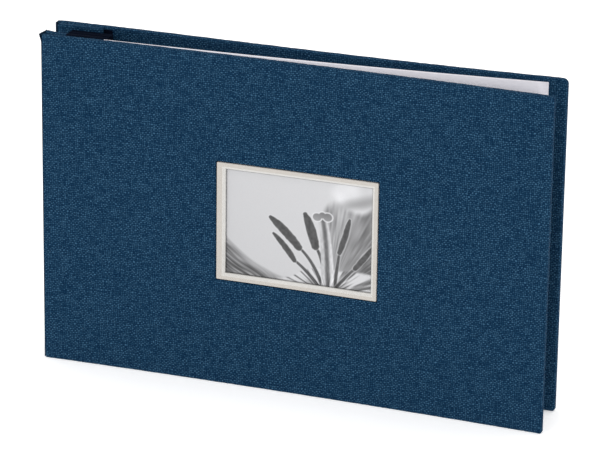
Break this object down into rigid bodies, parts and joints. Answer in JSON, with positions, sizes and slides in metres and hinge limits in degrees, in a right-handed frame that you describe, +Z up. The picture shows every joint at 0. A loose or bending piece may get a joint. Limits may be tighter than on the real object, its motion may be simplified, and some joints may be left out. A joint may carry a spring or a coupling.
{
  "type": "scrapbook album",
  "caption": "Small landscape scrapbook album: cloth-covered hinged covers with a mat-framed picture window, card leaves and spacers clamped by hidden screw posts.",
  "frame": {"origin": "bottom centre of the whole standing album, on the surface it stands on", "axes": "+X from the spine to the fore-edge along the front cover, +Y from the front cover to the back cover, +Z up along the spine"},
  "size_m": [0.182, 0.023, 0.117],
  "materials": {
    "blue_cloth": "plain-weave linen bookcloth, matt",
    "greyboard": "raw grey binder's board",
    "navy_lining": "matt navy lining paper",
    "cream_mat": "matt cream mat board with a white bevel",
    "photo_paper": "satin monochrome print",
    "white_card": "smooth white card",
    "dark_card": "dark navy card",
    "nickel_steel": "bright nickel plate"
  },
  "bodies": {
    "binding": {"front_strip_cloth": "blue_cloth", "front_strip_board": "greyboard", "back_strip_cloth": "blue_cloth", "back_strip_board": "greyboard", "front_fold_cloth": "blue_cloth", "back_fold_cloth": "blue_cloth", "leaf_01_margin": "white_card", "leaf_02_margin": "white_card", "leaf_03_margin": "white_card", "leaf_04_margin": "white_card", "leaf_05_margin": "white_card", "leaf_06_margin": "white_card", "spacer_01": "dark_card", "spacer_02": "dark_card", "spacer_03": "dark_card", "spacer_04": "dark_card", "spacer_05": "dark_card", "spacer_06": "dark_card", "post_upper": "nickel_steel", "post_lower": "nickel_steel", "screw_upper": "nickel_steel", "screw_lower": "nickel_steel"},
    "front_cover": {"front_cloth": "blue_cloth", "front_board": "greyboard", "front_lining": "navy_lining", "window_mat": "cream_mat", "window_print": "photo_paper", "print_backing": "greyboard"},
    "back_cover": {"back_cloth": "blue_cloth", "back_board": "greyboard", "back_lining": "navy_lining"},
    "leaf_01": {"leaf_01": "white_card"},
    "leaf_02": {"leaf_02": "white_card"},
    "leaf_03": {"leaf_03": "white_card"},
    "leaf_04": {"leaf_04": "white_card"},
    "leaf_05": {"leaf_05": "white_card"},
    "leaf_06": {"leaf_06": "white_card"}
  },
  "joints": [
    {"name": "front_cover_hinge", "type": "hinge", "parent": "binding", "child": "front_cover", "pos_m": [-0.08968, -0.00873, 0.0585], "axis": [0, 0, -1], "range_deg": [0, 170], "deforming": ["front_fold_cloth"]},
    {"name": "back_cover_hinge", "type": "hinge", "parent": "binding", "child": "back_cover", "pos_m": [-0.09098, 0.00481, 0.0585], "axis": [0, 0, 1], "range_deg": [0, 170], "deforming": ["back_fold_cloth"]},
    {"name": "leaf_01_crease", "type": "hinge", "parent": "binding", "child": "leaf_01", "pos_m": [-0.06797, -0.0055, 0.0585], "axis": [0, 0, -1], "range_deg": [0, 88.4]},
    {"name": "leaf_02_crease", "type": "hinge", "parent": "binding", "child": "leaf_02", "pos_m": [-0.06773, -0.00525, 0.0585], "axis": [0, 0, -1], "range_deg": [0, 74.8]},
    {"name": "leaf_03_crease", "type": "hinge", "parent": "binding", "child": "leaf_03", "pos_m": [-0.06749, -0.00501, 0.0585], "axis": [0, 0, -1], "range_deg": [0, 61.2]},
    {"name": "leaf_04_crease", "type": "hinge", "parent": "binding", "child": "leaf_04", "pos_m": [-0.06725, -0.00476, 0.0585], "axis": [0, 0, -1], "range_deg": [0, 47.6]},
    {"name": "leaf_05_crease", "type": "hinge", "parent": "binding", "child": "leaf_05", "pos_m": [-0.067, -0.00451, 0.0585], "axis": [0, 0, -1], "range_deg": [0, 34]},
    {"name": "leaf_06_crease", "type": "hinge", "parent": "binding", "child": "leaf_06", "pos_m": [-0.06676, -0.00426, 0.0585], "axis": [0, 0, -1], "range_deg": [0, 20.4]}
  ],
  "couplings": [
    {"joint": "leaf_01_crease", "follows": "front_cover_hinge", "ratio": 0.52},
    {"joint": "leaf_02_crease", "follows": "front_cover_hinge", "ratio": 0.44},
    {"joint": "leaf_03_crease", "follows": "front_cover_hinge", "ratio": 0.36},
    {"joint": "leaf_04_crease", "follows": "front_cover_hinge", "ratio": 0.28},
    {"joint": "leaf_05_crease", "follows": "front_cover_hinge", "ratio": 0.2},
    {"joint": "leaf_06_crease", "follows": "front_cover_hinge", "ratio": 0.12}
  ]
}
